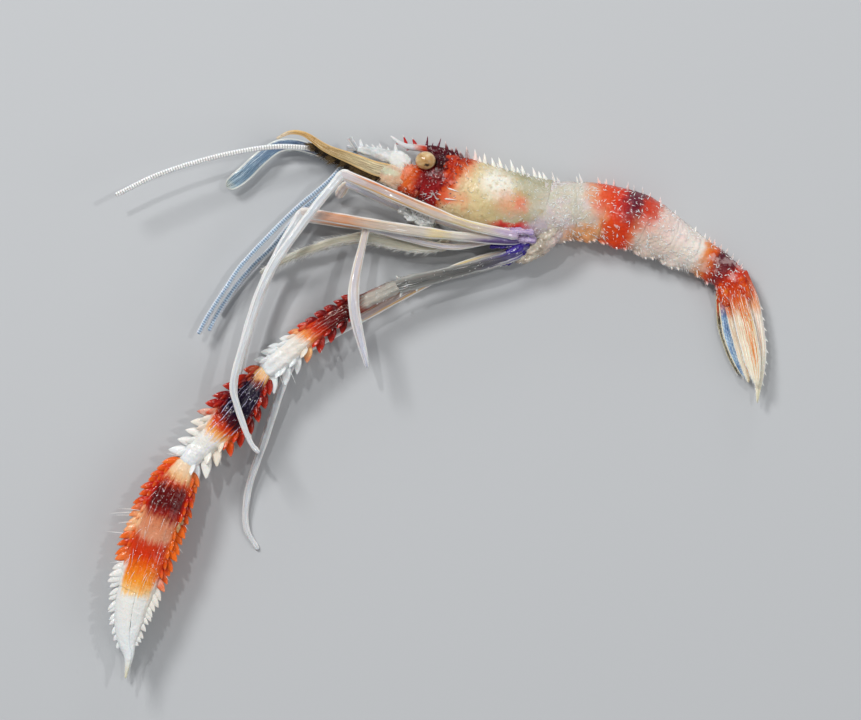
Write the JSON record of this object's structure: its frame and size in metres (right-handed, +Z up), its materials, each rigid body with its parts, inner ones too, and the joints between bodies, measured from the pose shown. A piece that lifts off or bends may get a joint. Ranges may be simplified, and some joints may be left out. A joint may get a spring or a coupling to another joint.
{
  "type": "shrimp",
  "caption": "Banded coral shrimp lying on its right side, with long toothed claws, slender legs, feelers and a folded tail fan.",
  "frame": {"origin": "middle of the footprint, on the surface that the shrimp lies on", "axes": "+X towards the tail, +Y towards the back, +Z up out of the left side"},
  "size_m": [0.0658, 0.055, 0.0084],
  "materials": {
    "carapace_shell": "translucent cream shell with orange-red and dark purple at the front",
    "rostrum_shell": "clear white blade with red teeth",
    "abdomen_shell": "translucent shell banded in cream, orange-red, purple and white",
    "tail_fan": "orange and cream blades with lengthwise ribs and white tips",
    "antenna_base_shell": "orange-red shell",
    "antennule_shell": "white shell",
    "flagellum": "white, ringed",
    "antennal_scale_left": "golden-brown, fibrous",
    "antennal_scale_right": "translucent blue-grey with a pale rim",
    "mouthparts_shell": "clear and glossy",
    "eye": "glossy tan ball with a small dark spot",
    "maxilliped_shell": "translucent grey, hairy",
    "slender_leg": "translucent white",
    "walking_leg": "translucent white with a golden-pink upper link",
    "claw_ischium": "glassy grey",
    "claw_merus": "grey to dark red to orange, with white leaf-shaped teeth",
    "claw_carpus": "dark purple core, red and white teeth",
    "claw_hand": "dark red to orange, with white fingers and teeth"
  },
  "bodies": {
    "root": {"abdomen_1": "abdomen_shell", "abdomen_2": "abdomen_shell", "abdomen_3": "abdomen_shell", "abdomen_4": "abdomen_shell", "abdomen_5": "abdomen_shell", "abdomen_6": "abdomen_shell", "antenna_base_left": "antenna_base_shell", "antenna_base_right": "antenna_base_shell", "antenna_left": "flagellum", "antenna_right": "flagellum", "antennal_scale_left": "antennal_scale_left", "antennal_scale_right": "antennal_scale_right", "antennule_left": "antennule_shell", "antennule_left_inner": "flagellum", "antennule_left_outer": "flagellum", "antennule_right": "antennule_shell", "antennule_right_inner": "flagellum", "antennule_right_outer": "flagellum", "carapace": "carapace_shell", "eye_left": "eye", "eye_right": "eye", "leg1_left_arm": "slender_leg", "leg1_left_hand": "slender_leg", "leg1_right_arm": "slender_leg", "leg1_right_hand": "slender_leg", "leg2_left_arm": "slender_leg", "leg2_left_hand": "slender_leg", "leg2_right_arm": "slender_leg", "leg2_right_hand": "slender_leg", "leg3_left_carpus": "claw_carpus", "leg3_left_finger": "claw_hand", "leg3_left_ischium": "claw_ischium", "leg3_left_merus": "claw_merus", "leg3_left_palm": "claw_hand", "leg3_right_carpus": "claw_carpus", "leg3_right_finger": "claw_hand", "leg3_right_ischium": "claw_ischium", "leg3_right_merus": "claw_merus", "leg3_right_palm": "claw_hand", "leg4_left_arm": "walking_leg", "leg4_left_shank": "walking_leg", "leg4_right_arm": "walking_leg", "leg4_right_shank": "walking_leg", "leg5_left_arm": "walking_leg", "leg5_left_shank": "walking_leg", "leg5_right_arm": "walking_leg", "leg5_right_shank": "walking_leg", "maxilliped_left_arm": "maxilliped_shell", "maxilliped_left_tip": "maxilliped_shell", "maxilliped_right_arm": "maxilliped_shell", "maxilliped_right_tip": "maxilliped_shell", "mouthparts_left": "mouthparts_shell", "mouthparts_right": "mouthparts_shell", "rostrum": "rostrum_shell", "telson": "tail_fan", "uropod_left_inner": "tail_fan", "uropod_left_outer": "tail_fan", "uropod_right_inner": "tail_fan", "uropod_right_outer": "tail_fan"}
  },
  "joints": []
}
